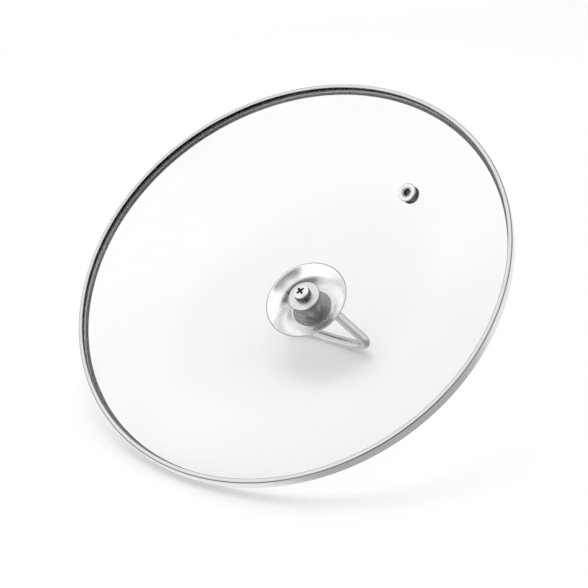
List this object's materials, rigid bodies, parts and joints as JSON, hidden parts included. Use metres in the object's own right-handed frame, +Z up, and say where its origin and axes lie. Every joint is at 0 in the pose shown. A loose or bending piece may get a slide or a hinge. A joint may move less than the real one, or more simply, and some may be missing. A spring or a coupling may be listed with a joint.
{
  "type": "saucepan lid",
  "caption": "Domed tempered glass saucepan lid with a rolled steel rim band, a steam vent eyelet and a bent-rod loop handle welded to a screwed-on dish.",
  "frame": {"origin": "centre of the rim band's seating face, which rests on the pan's edge", "axes": "+Z up through the handle, +X along the plane of the loop handle, vent eyelet on the +X, -Y side"},
  "size_m": [0.265, 0.265, 0.0904],
  "materials": {
    "clear_glass": "clear tempered glass, polished both sides, ground edge",
    "band_steel": "rolled stainless strip, bright with faint lines round the rim",
    "handle_steel": "mirror-polished stainless steel with faint heat tint at the welds",
    "fastener_steel": "bright turned and stamped stainless steel",
    "silicone": "dark grey food-grade silicone, satin"
  },
  "bodies": {
    "root": {"glass_pane": "clear_glass", "rim_band": "band_steel", "handle_loop": "handle_steel", "handle_dish": "handle_steel", "dish_boss": "fastener_steel", "outer_gasket": "silicone", "inner_gasket": "silicone", "cup_washer": "fastener_steel", "spring_washer": "fastener_steel", "handle_screw": "fastener_steel", "vent_eyelet": "band_steel", "vent_collar": "band_steel", "vent_grommet": "silicone"}
  },
  "joints": []
}
